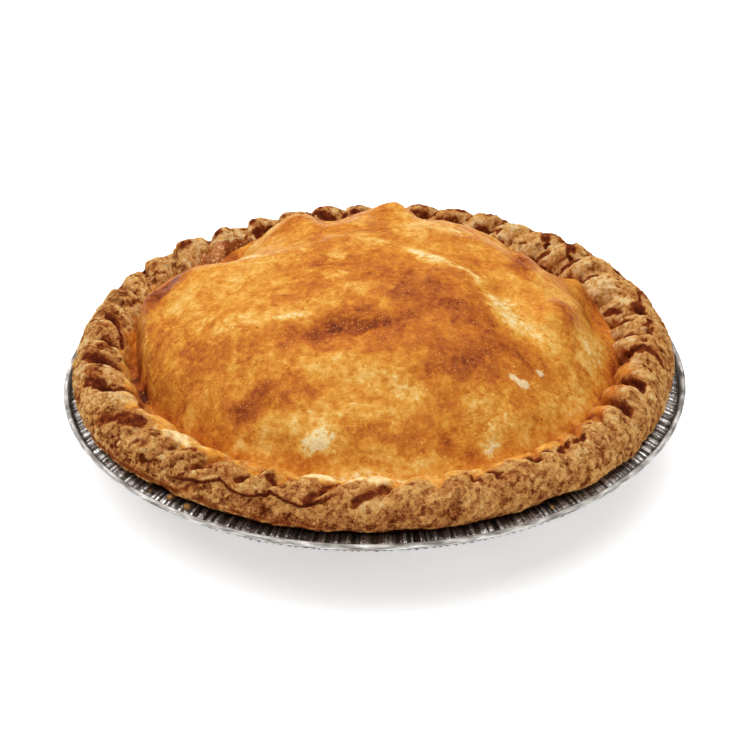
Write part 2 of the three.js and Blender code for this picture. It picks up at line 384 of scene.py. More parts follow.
# Pale, floury dough on the inside of the edge, as strokes too
CREAM = [
    (222, 100, 230, 110, 2.0, 0.28),
    (226, 116, 234, 112, 1.3, 0.16),
    (206, 94, 214, 104, 1.4, 0.12),
    (172, 158, 182, 150, 0.8, 0.12),
    (257, 108, 262, 116, 1.6, 0.26),
    (266, 100, 274, 112, 2.4, 0.32),
    (20, 150, 32, 128, 3.0, 0.16),
    (50, 130, 56, 128, 3.2, 0.26),
    (344, 106, 346.5, 124, 1.3, 0.3),
    (350.8, 112, 354, 150, 1.3, 0.36),
    (359, 132, 362.5, 166, 1.2, 0.36),
    (372, 110, 382, 140, 4.2, 0.16),
    (376, 150, 383, 136, 2.0, 0.2),
]
# Syrup that leaked at the back left: name, degrees round, row of the edge's grid, reach
# in rows and columns, height, size of its bubbles, and their colour and its own
SYRUP = [
    ("syrup_pool", 127, 19, (9, 13), 0.5, 1.6, "#DB9A5C", "#8C4B20"),
    ("syrup_froth", 134, 19, (9, 10), 0.7, 1.1, "#F3CFA0", "#B87842"),
]
SYRUP_COLUMNS = 96
SYRUP_ROWS = 30
SYRUP_SUNK = 0.5  # its underside, below the edge's surface
# Crumbs on the flange: x, y, radius
CRUMBS = [
    (-70.9, -91.2, 1.3),
    (-64.6, -96.8, 1.2),
    (-78.5, -86.5, 0.6),
    (60.0, -99.5, 0.6),
]
# How far the folds of this edge stray from their even places: degrees round, degrees
STRAY = [
    (0, 2), (12, -1), (22, 4), (31, 3), (40, 2), (57, 1), (74, 2), (89, 2.5), (97, 0.5), (111, 0.2),
    (121, -0.4), (128, -1.4), (136, 0.4), (146, 2.2), (160, 1.4), (169, -1.9), (177, -2.9),
    (193, -1.5), (201, 1.7), (209, 3.5), (225, 4.5), (243, 4), (252, 0), (262, 1), (271, 1.8),
    (289, -0.4), (297, 3.5), (306, 2.4), (314, -1), (329, -3), (345, -2), (354, 2.5), (360, 2),
]
# How far the edge's outside stands out or back: degrees round, mm
OVERHANG = [
    (0, 0.3), (20, 0), (185, 0), (205, 0.4), (219, 1.2), (229, -0.6), (240, -0.2), (262, 0.7),
    (285, -0.2), (300, -1.3), (313, 0.8), (325, -0.8), (336, -1.4), (349, -0.9), (360, 0.3),
]
# The crack between the two layers of the edge: degrees round, degrees round the section
CRACK = [
    (231, 22), (236, 37), (239, 40), (242, 57), (246, 41), (249, 43), (252, 55), (255, 44),
    (257.5, 40), (261, 52), (264, 70),
]


# Patterns


def lattice(ix, iy, iz, seed):
    """A number from 0 to 1 for each place of whole numbers, by mixing their digits."""
    n = (ix * 73856093) ^ (iy * 19349663) ^ (iz * 83492791) ^ (seed * 2654435761)
    n = (n ^ (n >> 15)) * 2246822519 & 0xFFFFFFFF
    n = (n ^ (n >> 13)) * 3266489917 & 0xFFFFFFFF
    return (n ^ (n >> 16)) / 4294967295


def noise(points, size, seed):
    """Smooth lumps from about -1 to 1, size mm apart: a random slope at each lattice
    corner, blended with 6t^5 - 15t^4 + 10t^3."""
    q = points / size
    cell = np.floor(q).astype(np.int64)
    t = q - cell
    smooth = t * t * t * (t * (t * 6 - 15) + 10)
    total = 0
    for corner in itertools.product((0, 1), repeat=3):
        place = [cell[..., k] + corner[k] for k in range(3)]
        slope = sum((t[..., k] - corner[k]) * (2 * lattice(*place, seed + k) - 1) for k in range(3))
        share = 1
        for k in range(3):
            share = share * (smooth[..., k] if corner[k] else 1 - smooth[..., k])
        total = total + share * slope
    return 1.6 * total


def rough(points, size, seed, octaves=4):
    """Noise of several sizes, each half the size and height of the one before."""
    return sum(noise(points, size / 2**k, seed + 10 * k) / 2**k for k in range(octaves))


def cells(points, size, seed):
    """For points strewn about size mm apart: the distance to the nearest, the distance
    to the next nearest, both in sizes, and a number from 0 to 1 for the nearest."""
    q = points / size
    cell = np.floor(q).astype(np.int64)
    near = np.full(q.shape[:-1], 9.0)
    second = near.copy()
    number = np.zeros_like(near)
    for step in itertools.product((-1, 0, 1), repeat=3):
        place = [cell[..., k] + step[k] for k in range(3)]
        away = sum((place[k] + lattice(*place, seed + k) - q[..., k]) ** 2 for k in range(3))
        away = np.sqrt(away)
        closer = away < near
        second = np.where(closer, near, np.minimum(second, away))
        number = np.where(closer, lattice(*place, seed + 7), number)
        near = np.minimum(near, away)
    return near, second, number


def smoothstep(low, high, value):
    """Goes from 0 at low to 1 at high as 3t^2 - 2t^3."""
    t = np.clip((value - low) / (high - low), 0, 1)
    return t * t * (3 - 2 * t)


def way_round(degrees, start):
    """The degrees from a start, the shorter way round."""
    return (degrees - start + 180) % 360 - 180


def hump(value, middle, reach):
    """1 in the middle, falling off as exp(-((value - middle) / reach)^2)."""
    return np.exp(-(((value - middle) / reach) ** 2))


def patchy(points, mean, depth, size, seed):
    """Noise about a mean, cut off at 0 and 1."""
    return np.clip(mean + depth * noise(points, size, seed), 0, 1)


def spots(x, y, rows, crispness=1):
    """The sum of soft spots: height * exp(-(u^2 + v^2)^crispness), u and v being the
    distances along and across a spot's own turned axes, in its reaches."""
    total = 0
    for spot_x, spot_y, along, across, turn, height in rows:
        c = math.cos(math.radians(turn))
        s = math.sin(math.radians(turn))
        u = ((x - spot_x) * c + (y - spot_y) * s) / along
        v = ((y - spot_y) * c - (x - spot_x) * s) / across
        total = total + height * np.exp(-((u * u + v * v) ** crispness))
    return total


def strokes(degrees, around, rows):
    """The strongest of some soft strokes on the rope's surface unrolled: depth *
    exp(-(d / reach)^2.8), d being the distance in mm from the line between the ends and
    reach 1.35 half widths."""
    deepest = 0
    for turn_a, around_a, turn_b, around_b, half_width, depth in rows:
        start = np.array([turn_a * MM_PER_TURN, around_a * MM_PER_AROUND])
        step = np.array([turn_b * MM_PER_TURN, around_b * MM_PER_AROUND]) - start
        x = way_round(degrees, turn_a) * MM_PER_TURN
        y = around * MM_PER_AROUND - start[1]
        along = np.clip((x * step[0] + y * step[1]) / (step @ step), 0, 1)
        away = (x - along * step[0]) ** 2 + (y - along * step[1]) ** 2
        away = away / (1.35 * half_width) ** 2
        deepest = np.maximum(deepest, depth * np.exp(-(away**1.4)))
    return deepest


def spread(degrees, around, rows):
    """The same strokes, 2.1 times as wide and all of depth 1."""
    return strokes(degrees, around, [(*row[:4], 2.1 * row[4], 1) for row in rows])


# Meshes


def polar(radius, angle, height):
    """Points from a distance from the axis, an angle round it and a height."""
    x, y, z = np.broadcast_arrays(radius * np.cos(angle), radius * np.sin(angle), height)
    return np.stack([x, y, z], -1)


def normals(grid, closed):
    """Outward normals of a grid of points whose columns go round the axis: the cross
    product of the steps along its rows and down its columns."""
    along = np.roll(grid, -1, 1) - np.roll(grid, 1, 1)
    if closed:
        down = np.roll(grid, -1, 0) - np.roll(grid, 1, 0)
    else:
        down = np.gradient(grid, axis=0)
    out = np.cross(down, along)
    return out / np.maximum(np.linalg.norm(out, axis=-1, keepdims=True), 1e-9)


def make_piece(name, grid, material, slot, node=None, closed=False, **values):
    """A mesh from a grid of points in millimetres, in rows from the top down, whose
    columns go round anticlockwise from above. The rows close on each other, or end in
    a point at the middle of the first and last row. values are point attributes, each
    for every point, for each row or for all."""
    rows, columns = grid.shape[:2]
    points = grid.reshape(-1, 3)
    index = np.arange(rows * columns).reshape(rows, columns)
    upper = index if closed else index[:-1]
    lower = np.roll(index, -1, 0) if closed else index[1:]
    quads = np.stack([upper, lower, np.roll(lower, -1, 1), np.roll(upper, -1, 1)], -1).reshape(-1, 4)
    corners = quads.ravel()
    sizes = np.full(len(quads), 4)
    values = {key: np.broadcast_to(value, (rows, columns)) for key, value in values.items()}
    fields = {key: value.reshape(-1) for key, value in values.items()}
    if not closed:
        ends = np.stack([grid[0].mean(0), grid[-1].mean(0)])
        top = np.full(columns, len(points))
        points = np.concatenate([points, ends])
        first, last = index[0], index[-1]
        first_cap = np.stack([top, first, np.roll(first, -1)], -1)
        last_cap = np.stack([top + 1, np.roll(last, -1), last], -1)
        corners = np.concatenate([corners, first_cap.ravel(), last_cap.ravel()])
        sizes = np.concatenate([sizes, np.full(2 * columns, 3)])
        for key, value in values.items():
            fields[key] = np.concatenate([fields[key], [value[0].mean(), value[-1].mean()]])
    build_mesh(name, points, corners, sizes, material, node, fields)


def build_mesh(name, points, corners, sizes, material, node, fields):
    """Puts points, face corners and face sizes into a smooth mesh that rides on the root."""
    mesh = bpy.data.meshes.new(name)
    mesh.vertices.add(len(points))
    mesh.vertices.foreach_set("co", (points * MM).astype(np.float32).ravel())
    mesh.loops.add(len(corners))
    mesh.loops.foreach_set("vertex_index", corners.astype(np.int32))
    mesh.polygons.add(len(sizes))
    starts = np.concatenate([[0], np.cumsum(sizes)[:-1]])
    mesh.polygons.foreach_set("loop_start", starts.astype(np.int32))
    mesh.update(calc_edges=True)
    mesh.shade_smooth()
    for key, value in fields.items():
        mesh.attributes.new(key, "FLOAT", "POINT").data.foreach_set("value", value.astype(np.float32))
    mesh.materials.append(material)
    piece = bpy.data.objects.new(name, mesh)
    bpy.context.scene.collection.objects.link(piece)
    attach(piece, "root")
    if node:
        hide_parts(node)


# Materials


# A Mix node's inputs and its output, by number, for colours and for places
SHARE = 0
FIRST_COLOUR, SECOND_COLOUR, MIXED_COLOUR = 6, 7, 2
FIRST_PLACE, SECOND_PLACE, MIXED_PLACE = 4, 5, 1


def colour(code):
    """An sRGB hex value as linear red, green, blue and alpha."""
    parts = [int(code[k : k + 2], 16) / 255 for k in (1, 3, 5)]
    linear = [p / 12.92 if p <= 0.04045 else ((p + 0.055) / 1.055) ** 2.4 for p in parts]
    return (*linear, 1)


def feed(node, sockets):
    """Sets a node's inputs, each to a value or to the output that feeds it."""
    for key, value in sockets.items():
        if isinstance(value, bpy.types.NodeSocket):
            node.id_data.links.new(value, node.inputs[key])
        else:
            node.inputs[key].default_value = value


def add_node(tree, kind, *values, stops=(), **settings):
    """Adds a node and gives its outputs. values are its inputs in order, or one
    dictionary of them by name or number, settings are its own, and stops are a ramp's
    places and colours."""
    node = tree.nodes.new("ShaderNode" + kind)
    for key, value in settings.items():
        setattr(node, key, value)
    by_name = values and isinstance(values[0], dict)
    feed(node, values[0] if by_name else dict(enumerate(values)))
    if stops:
        elements = node.color_ramp.elements
        while len(elements) < len(stops):
            elements.new(0.5)
        for element, (place, code) in zip(elements, stops):
            element.position = place
            element.color = colour(code)
    return node.outputs


def new_material(name):
    """An empty material: its Principled shader, what adds a node to it, and its object
    coordinates in mm."""
    material = bpy.data.materials.new(name)
    material.use_nodes = True
    tree = material.node_tree
    add = partial(add_node, tree)
    mm = add("VectorMath", add("TexCoord")["Object"], (1 / MM,) * 3, operation="MULTIPLY")[0]
    return material, tree.nodes["Principled BSDF"], add, mm


def pastry_colour(add, mm, bake, pale):
    """Egg-washed pastry's colour, from cream over butter yellow and gold to dark brown as
    it bakes on. Soft mottles, flakes of three sizes, pores, pale specks and thin veins lie
    over the given bake, and the pale patches break up into flecks at their edges."""
    fleck = add("TexNoise", {"Vector": mm, "Scale": 1 / 2.2, "Detail": 6, "Roughness": 0.66})["Fac"]
    broken = add("MapRange", {"Value": fleck, "From Min": 0.3, "From Max": 0.7, "To Max": 2})[0]
    paler = add("Math", pale, broken, operation="MULTIPLY")[0]
    bake = add("Math", bake, paler, operation="SUBTRACT")[0]
    drift = add("TexNoise", {"Vector": mm, "Scale": 1 / 2.0, "Detail": 3})["Color"]
    bent = add("VectorMath", drift, (2.0,) * 3, mm, operation="MULTIPLY_ADD")[0]
    for size, change in ((6.5, 0.05), (2.4, 0.04), (1.1, 0.06)):
        flakes = add("TexVoronoi", {"Vector": bent, "Scale": 1 / size})
        flake = add("SeparateColor", flakes["Color"])[0]
        shift = add("MapRange", {"Value": flake, "To Min": -change, "To Max": change})[0]
        bake = add("Math", bake, shift, operation="ADD")[0]
    for size, largest, change in ((5.5, 0.16, 0.18), (2.6, 0.22, -0.2)):
        strewn = add("TexVoronoi", {"Vector": bent, "Scale": 1 / size})
        pick = add("SeparateColor", strewn["Color"])[1]
        reach = add("MapRange", {"Value": pick, "From Min": 0.4, "To Min": 0, "To Max": largest})[0]
        inside = add("Math", reach, strewn["Distance"], operation="SUBTRACT")[0]
        speck = add("MapRange", {"Value": inside, "From Max": 0.05, "To Max": change})[0]
        bake = add("Math", bake, speck, operation="ADD")[0]
    drawn = add("VectorMath", mm, (0.5, 1, 0.8), operation="MULTIPLY")[0]
    for size, middle, change in ((6.0, 0.5, -0.08), (8.5, 0.56, 0.1)):
        vein = {"Vector": drawn, "Scale": 1 / size, "Detail": 3, "Distortion": 1.3}
        vein = add("TexNoise", vein)["Fac"]
        away = add("Math", vein, middle, operation="SUBTRACT")[0]
        away = add("Math", away, operation="ABSOLUTE")[0]
        line = add("MapRange", {"Value": away, "From Max": 0.022, "To Min": change, "To Max": 0})[0]
        bake = add("Math", bake, line, operation="ADD")[0]
    smeared = add("VectorMath", mm, (1, 0.7, 1), operation="MULTIPLY")[0]
    mottle = {"Vector": smeared, "Scale": 1 / 3.2, "Detail": 6, "Roughness": 0.74}
    mottle = add("TexNoise", mottle)["Fac"]
    bake = add("Math", mottle, 0.6, bake, operation="MULTIPLY_ADD")[0]
    bake = add("Math", bake, 0.3, operation="SUBTRACT")[0]
    stops = [
        (0.0, "#F8DDA4"),
        (0.16, "#EFBE68"),
        (0.34, "#E29D3E"),
        (0.5, "#CE7C2B"),
        (0.66, "#B66226"),
        (0.82, "#93451D"),
        (1.0, "#5E2814"),
    ]
    return bake, add("ValToRGB", bake, stops=stops)["Color"]


def lid_material():
    """Egg-washed shortcrust, rolled thin and baked over fruit: buttery gold with soft
    brown smears, blistered where it is brown, with painted glints of light orange on
    the tops of clustered blisters, and a thin gloss from the wash."""
    material, shader, add, mm = new_material("egg_washed_shortcrust")
    names = ("bake", "pale", "bare")
    bake, pale, bare = [add("Attribute", attribute_name=name)["Fac"] for name in names]
    baked, tint = pastry_colour(add, mm, bake, pale)
    blister = add("TexVoronoi", {"Vector": mm, "Scale": 1 / 1.1})
    size = add("SeparateColor", blister["Color"])[0]
    reach = add("Math", size, 0.7, -0.32, operation="MULTIPLY_ADD")[0]
    dome = add("Math", reach, blister["Distance"], operation="SUBTRACT")[0]
    dome = add("MapRange", {"Value": dome, "From Min": -0.08, "From Max": 0.12})[0]
    brown = add("MapRange", {"Value": baked, "From Min": 0.42, "From Max": 0.62})[0]
    cluster = add("TexNoise", {"Vector": mm, "Scale": 1 / 7.0, "Detail": 1})["Fac"]
    cluster = add("Math", cluster, 4.0, size, operation="MULTIPLY_ADD")[0]
    cluster = add("Math", cluster, 2.55, operation="GREATER_THAN")[0]
    cluster = add("Math", brown, cluster, operation="MULTIPLY")[0]
    dome = add("Math", dome, cluster, operation="MULTIPLY")[0]
    # painted highlights: the tops of blisters in brown clusters are coloured light orange to stand for
    # glints
    painted_glints = add("Math", dome, 0.6, operation="MULTIPLY")[0]
    for share, over in ((bare, colour("#F0D2A0")), (painted_glints, colour("#F0A75C"))):
        mix = {SHARE: share, FIRST_COLOUR: tint, SECOND_COLOUR: over}
        tint = add("Mix", mix, data_type="RGBA")[MIXED_COLOUR]
    fine = add("TexNoise", {"Vector": mm, "Scale": 1 / 1.4, "Detail": 5, "Roughness": 0.7})["Fac"]
    relief = add("Math", dome, 0.3, fine, operation="MULTIPLY_ADD")[0]
    relief = add("Math", baked, -0.8, relief, operation="MULTIPLY_ADD")[0]
    bump = {"Height": relief, "Distance": 0.7 * MM, "Strength": 0.8}
    sockets = {
        "Base Color": tint,
        "Normal": add("Bump", bump)[0],
        "Roughness": 0.4,
        "IOR": 1.06,
        "Subsurface Weight": 0.1,
        "Subsurface Radius": (2.0 * MM, 0.9 * MM, 0.4 * MM),
        "Subsurface Scale": 1.0,
        "Coat Weight": 0.1,
        "Coat Roughness": 0.18,
        "Coat IOR": 1.3,
    }
    feed(shader, sockets)
    return material


def crust_material():
    """Crimped shortcrust baked dry: crumbly tan, speckled and pitted with brown, toasted
    nearly black along the folds, and golden like the lid where the egg wash reached it."""
    material, shader, add, mm = new_material("crumbly_shortcrust")
    names = ("toast", "wash", "bake", "crumb", "vary", "pale")
    fields = [add("Attribute", attribute_name=name)["Fac"] for name in names]
    toast, wash, bake, crumb, vary, pale = fields
    golden = pastry_colour(add, mm, bake, pale)[1]
    fine = {"Vector": mm, "Scale": 1 / 1.3, "Detail": 5, "Roughness": 0.8, "Distortion": 0.8}
    fine = add("TexNoise", fine)["Fac"]
    drift = add("TexNoise", {"Vector": mm, "Scale": 1 / 1.8, "Detail": 3})["Color"]
    bent = add("VectorMath", drift, (2.4,) * 3, mm, operation="MULTIPLY_ADD")[0]
    flakes = add("TexVoronoi", {"Vector": bent, "Scale": 1 / 2.3})
    flake = add("SeparateColor", flakes["Color"])[0]
    scraps = add("TexVoronoi", {"Vector": bent, "Scale": 1 / 1.0})
    scrap = add("SeparateColor", scraps["Color"])[1]
    layers = add("Math", scrap, 0.5, flake, operation="MULTIPLY_ADD")[0]
    tone = add("Math", fine, 1.7, -1.135, operation="MULTIPLY_ADD")[0]
    tone = add("Math", layers, 0.38, tone, operation="MULTIPLY_ADD")[0]
    # crumb holds the dough's tone together with painted shadow low on the outer wall and painted light on
    # the inner faces at the back
    tone = add("Math", tone, vary, crumb, operation="MULTIPLY_ADD")[0]
    stops = [
        (0.0, "#5A240E"),
        (0.2, "#96532A"),
        (0.4, "#C48247"),
        (0.6, "#DEA25B"),
        (0.8, "#ECB970"),
        (1.0, "#F4D29A"),
    ]
    tint = add("ValToRGB", tone, stops=stops)["Color"]
    upright = add("VectorMath", bent, (1, 1, 0.6), operation="MULTIPLY")[0]
    pits = add("TexVoronoi", {"Vector": upright, "Scale": 1 / 2.6})
    pick = add("SeparateColor", pits["Color"])[0]
    reach = add("Math", pick, 0.9, -0.42, operation="MULTIPLY_ADD")[0]
    pit = add("Math", reach, pits["Distance"], operation="SUBTRACT")[0]
    pit = add("MapRange", {"Value": pit, "From Min": -0.06, "From Max": 0.16})[0]
    half = add("Math", pit, 0.5, operation="MULTIPLY")[0]
    burnt = add("Math", toast, -0.5, operation="MULTIPLY")[0]
    burnt = add("Math", fine, 0.9, burnt, operation="MULTIPLY_ADD")[0]
    stops = [(0.0, "#4A1C10"), (0.16, "#6C2F16"), (0.4, "#A85C28")]
    burnt = add("ValToRGB", burnt, stops=stops)["Color"]
    shown = add("MapRange", {"Value": toast, "From Min": 0.12, "From Max": 0.5})[0]
    for share, over in ((half, colour("#6E3212")), (wash, golden), (shown, burnt)):
        mix = {SHARE: share, FIRST_COLOUR: tint, SECOND_COLOUR: over}
        tint = add("Mix", mix, data_type="RGBA")[MIXED_COLOUR]
    grains = add("TexNoise", {"Vector": bent, "Scale": 1 / 1.3, "Detail": 4, "Roughness": 0.7})["Fac"]
    relief = add("Math", pit, -0.16, grains, operation="MULTIPLY_ADD")[0]
    relief = add("Math", layers, 0.2, relief, operation="MULTIPLY_ADD")[0]
    smooth = add("Math", wash, shown, operation="MAXIMUM")[0]
    dull = add("MapRange", {"Value": smooth, "To Min": 0.7, "To Max": 0.38})[0]
    depth = add("MapRange", {"Value": smooth, "To Min": 0.9, "To Max": 0.25})[0]
    bump = {"Height": relief, "Distance": 1.7 * MM, "Strength": depth}
    sockets = {
        "Base Color": tint,
        "Normal": add("Bump", bump)[0],
        "Roughness": dull,
        "IOR": 1.02,
        "Subsurface Weight": 0.1,
        "Subsurface Radius": (1.4 * MM, 0.6 * MM, 0.3 * MM),
        "Subsurface Scale": 1.0,
    }
    feed(shader, sockets)
    return material


def foil_material():
    """Soft aluminium foil: fine lines pressed across its pleats catch the light one by
    one, as bumps and as painted reflections that turn its colour from dark to near white
    along them. The rolled bead is creased lengthwise and duller, its grey lighter and
    darker with its crinkles, the crease before it is painted near black as shade, and
    the base is plain and satin."""
    material, shader, add, mm = new_material("pressed_aluminium_foil")
    names = ("bead", "plain", "crease")
    bead, plain, crease = [add("Attribute", attribute_name=name)["Fac"] for name in names]
    at = add("SeparateXYZ", mm)
    turn = add("Math", at["Y"], at["X"], operation="ARCTAN2")[0]
    along = add("Math", turn, EDGE_RADIUS, operation="MULTIPLY")[0]
    lines = add("TexNoise", {"W": along, "Scale": 1 / 2.2, "Detail": 2}, noise_dimensions="1D")["Fac"]
    unpressed = add("Math", bead, plain, operation="ADD")[0]
    pressed = add("Math", 1, unpressed, operation="SUBTRACT")[0]
    pressed = add("Math", lines, pressed, operation="MULTIPLY")[0]
    drawn_out = add("Math", along, 0.22, operation="MULTIPLY")[0]
    across = add("Math", at["Z"], 1.6, operation="MULTIPLY")[0]
    rolled = add("CombineXYZ", drawn_out, across)[0]
    mix = {SHARE: bead, FIRST_PLACE: mm, SECOND_PLACE: rolled}
    place = add("Mix", mix, data_type="VECTOR")[MIXED_PLACE]
    crinkle = add("TexNoise", {"Vector": place, "Scale": 1 / 1.6, "Detail": 4})["Fac"]
    creased = add("Math", bead, 0.5, 0.3, operation="MULTIPLY_ADD")[0]
    relief = add("Math", crinkle, creased, pressed, operation="MULTIPLY_ADD")[0]
    bump = {"Height": relief, "Distance": 2.2 * MM, "Strength": 1.0}
    # painted reflections: along the pressed lines the colour goes from dark, for the crust the foil would
    # mirror, to near white, for the light
    stops = [(0.4, "#6C625C"), (0.51, "#A69C96"), (0.61, "#F6F3F0")]
    tint = add("ValToRGB", lines, stops=stops)["Color"]
    # the bead's grey goes lighter and darker with its crinkles
    stops = [(0.34, "#837D78"), (0.5, "#BDB8B3"), (0.64, "#EFECE8")]
    crinkle_grey = add("ValToRGB", crinkle, stops=stops)["Color"]
    # the crease before the bead is painted near black as shade
    for share, over in ((bead, crinkle_grey), (plain, colour("#C9C6C3")), (crease, colour("#2A2523"))):
        mix = {SHARE: share, FIRST_COLOUR: tint, SECOND_COLOUR: over}
        tint = add("Mix", mix, data_type="RGBA")[MIXED_COLOUR]
    sockets = {
        "Base Color": tint,
        "Normal": add("Bump", bump)[0],
        "Roughness": add("Math", unpressed, 0.4, 0.2, operation="MULTIPLY_ADD")[0],
        "Metallic": 0.85,  # a thin film of grease takes the rest
    }
    feed(shader, sockets)
    return material


def syrup_material(name, light, deep):
    """Apple syrup that boiled over and set: amber glass, lighter where it bubbled, and painted near white
    at the middle of each bubble as a glint.
    """
    material, shader, add, mm = new_material(name + "_sugar")
    bubbles = add("TexVoronoi", {"Vector": mm, "Scale": 1 / 1.3})["Distance"]
    # painted highlights: the near white at the middle of each bubble stands for glints
    stops = [(0.06, "#FFF2E0"), (0.16, light), (0.36, deep)]
    amber = add("ValToRGB", bubbles, stops=stops)["Color"]
    feed(shader, {"Base Color": amber, "Roughness": 0.14, "IOR": 1.25})
    return material


# The foil tin


def offset_line(line, distance):
    """Moves a line in the (radius, height) plane to its left by a distance."""
    steps = np.diff(line, axis=0)
    steps = steps / np.linalg.norm(steps, axis=1, keepdims=True)
    along = np.concatenate([steps[:1], steps[:-1] + steps[1:], steps[-1:]])
    along = along / np.linalg.norm(along, axis=1, keepdims=True)
    ahead = np.concatenate([steps[:1], steps])
    sharpness = np.maximum((along * ahead).sum(1, keepdims=True), 0.5)
    return line + distance * np.stack([-along[:, 1], along[:, 0]], 1) / sharpness


def curve(start, middle, end, count):
    """Points on the quadratic curve from start to end that heads for middle."""
    t = np.linspace(0, 1, count)[:, None]
    return (1 - t) ** 2 * np.array(start) + 2 * t * (1 - t) * np.array(middle) + t**2 * np.array(end)


def tin_line():
    """The outside of the sheet as radius and height, from the middle of the base up the
    sloping wall and over the flange to the roll."""
    wall = np.array([WALL_RADIUS - BASE_RADIUS, FLANGE_HEIGHT])
    wall = wall / np.linalg.norm(wall)
    foot = np.array([BASE_RADIUS, 0])
    shoulder = np.array([WALL_RADIUS, FLANGE_HEIGHT])
    foot_end = foot + FOOT_ROUND * wall
    wall_end = shoulder - FLANGE_ROUND * wall
    base = [(0.5, 0), (60, 0)]
    foot_curve = curve((BASE_RADIUS - FOOT_ROUND, 0), foot, foot_end, 4)
    wall_line = np.linspace(foot_end, wall_end, 5)[1:]
    shoulder_curve = curve(wall_end, shoulder, (WALL_RADIUS + FLANGE_ROUND, FLANGE_HEIGHT), 3)[1:]
    flange = [(radius, FLANGE_HEIGHT + FLANGE_RISE - fall) for radius, fall in FLANGE_FALLS]
    return np.concatenate([base, foot_curve, wall_line, shoulder_curve, flange])


def make_tin():
    """The tin's section carried round the axis. Across a pleat, at a share p of its own
    width, the sheet stands out as |sin(pi p^0.7)|^0.8, a full top beside a narrow crease.
    The pleats grow up the wall and end at the roll."""
    under = tin_line()
    over = offset_line(under, FOIL)
    around = np.radians(np.linspace(*ROLL_TURN))
    roll_middle = np.array([EDGE_RADIUS - ROLL_RADIUS, FLANGE_HEIGHT + FLANGE_RISE + FOIL / 2])
    roll = roll_middle + ROLL_RADIUS * np.stack([np.cos(around), np.sin(around)], 1)
    profile = np.concatenate([over, roll, under[::-1]])
    columns = PLEATS * COLUMNS_PER_PLEAT
    angle = TAU * np.arange(columns) / columns
    radius, height = profile[:, :1], profile[:, 1:]
    grid = polar(radius, angle[None, :], height)
    on_flange = polar(np.full(columns, FLANGE_MIDDLE), angle, 0)
    lean = 0.35 * noise(grid, 22, 3)
    phase = PLEATS * angle / TAU + 0.55 * noise(on_flange, 6, 4)[None, :] + lean
    pleat = np.floor(phase)
    wave = 2 * np.abs(np.sin(math.pi * (phase - pleat) ** 0.7)) ** 0.8 - 1
    depth = PLEAT_DEPTH * (0.4 + 0.9 * lattice(pleat.astype(np.int64) % PLEATS, 0, 0, 5))
    inside = EDGE_RADIUS - 2 * ROLL_RADIUS
    fade = smoothstep(BASE_RADIUS - 4, BASE_RADIUS + 16, radius)
    fade = fade * smoothstep(inside, inside - 0.7, radius)
    swing = depth * fade * wave
    flat = smoothstep(WALL_RADIUS - 4, WALL_RADIUS, radius)
    grid[..., 2] += swing * (0.9 * flat + 0.3 * (1 - flat)) - 0.9 * flat * depth * fade
    out = polar(np.ones_like(radius), angle[None, :], 0)
    grid += out * (swing * (1 - flat))[..., None]
    loose = smoothstep(WALL_RADIUS - 20, EDGE_RADIUS, radius)
    grid[..., 2] += 0.35 * loose * noise(grid * (1, 1, 0), 34, 6)
    grid[..., 2] += 0.09 * fade * noise(grid * (1, 1, 0), 2.2, 7)
    bead = smoothstep(inside - 0.6, inside, radius)
    # painted shade: where the crease between flange and bead is coloured near black
    crease = hump(radius, inside - 0.5, 0.45)
    plain = smoothstep(BASE_RADIUS - 1, BASE_RADIUS - 7, radius)
    foil = foil_material()
    make_piece("foil_pan", grid, foil, "foil", "foil_tin", bead=bead, crease=crease, plain=plain)


# The lid


def lid_height(angle, share):
    """The lid's height above the rim: a dome (1 - share^flatness)^fall over the groove,
    with the soft swells of the apple pieces, which fade out at its edge."""
    x = LID_RADIUS * share * np.cos(angle)
    y = LID_RADIUS * share * np.sin(angle)
    front = np.maximum(-np.sin(angle), 0)
    fall = EDGE_FALL + EDGE_FALL_FRONT * front + EDGE_FALL_RIGHT * np.cos(angle)
    left = np.maximum(np.cos(angle - math.radians(WIDE_GROOVE_AT)), 0)
    reach = share * (1 + WIDE_GROOVE * left**2)
    dome = np.maximum(1 - reach**LID_FLATNESS, 0) ** fall
    inside = np.minimum(1, SWELL_FADE * (1 - share))
    return VALLEY + (LID_TOP - VALLEY) * dome + inside * spots(x, y, LID_SWELLS)


def lid_places():
    """The lid's grid before its lumps, and what its patterns are read from: the places
    seen flat, bent by noise of three sizes, squeezed sideways and unrolled round it."""
    angle = TAU * np.arange(LID_COLUMNS) / LID_COLUMNS
    share = np.sin(np.linspace(0.006, 1, LID_ROWS) ** 0.9 * math.pi / 2)[:, None]
    grid = polar(LID_RADIUS * share, angle, RIM + lid_height(angle, share))
    flat = grid * (1, 1, 0)
    still = 0 * flat[..., 0]
    bent = flat
    for bend, size, seed in ((2.2, 15, 11), (1.8, 5, 13), (0.7, 1.8, 15)):
        bent = bent + bend * np.stack([noise(flat, size, seed), noise(flat, size, seed + 1), still], -1)
    return SimpleNamespace(
        angle=angle,
        share=share,
        grid=grid,
        flat=flat,
        bent=bent,
        squeezed=bent * (0.5, 1, 1),
        unrolled=polar(34, angle, LID_RADIUS * share) + 2.5 * noise(flat, 9, 25)[..., None],
        outer=smoothstep(0.35, 0.65, share),
        steep=smoothstep(0.86, 0.98, share),
        sides=np.cos(angle) ** 2,
        streak=noise(polar(90, angle, 12 * share), 2.2, 23),
    )


def flowing(lid, size, seed):
    """Noise drawn out sideways near the middle of the lid and round it further out."""
    inner = (1 - lid.outer) * noise(lid.squeezed, size, seed + 1)
    return lid.outer * noise(lid.unrolled, size, seed) + inner


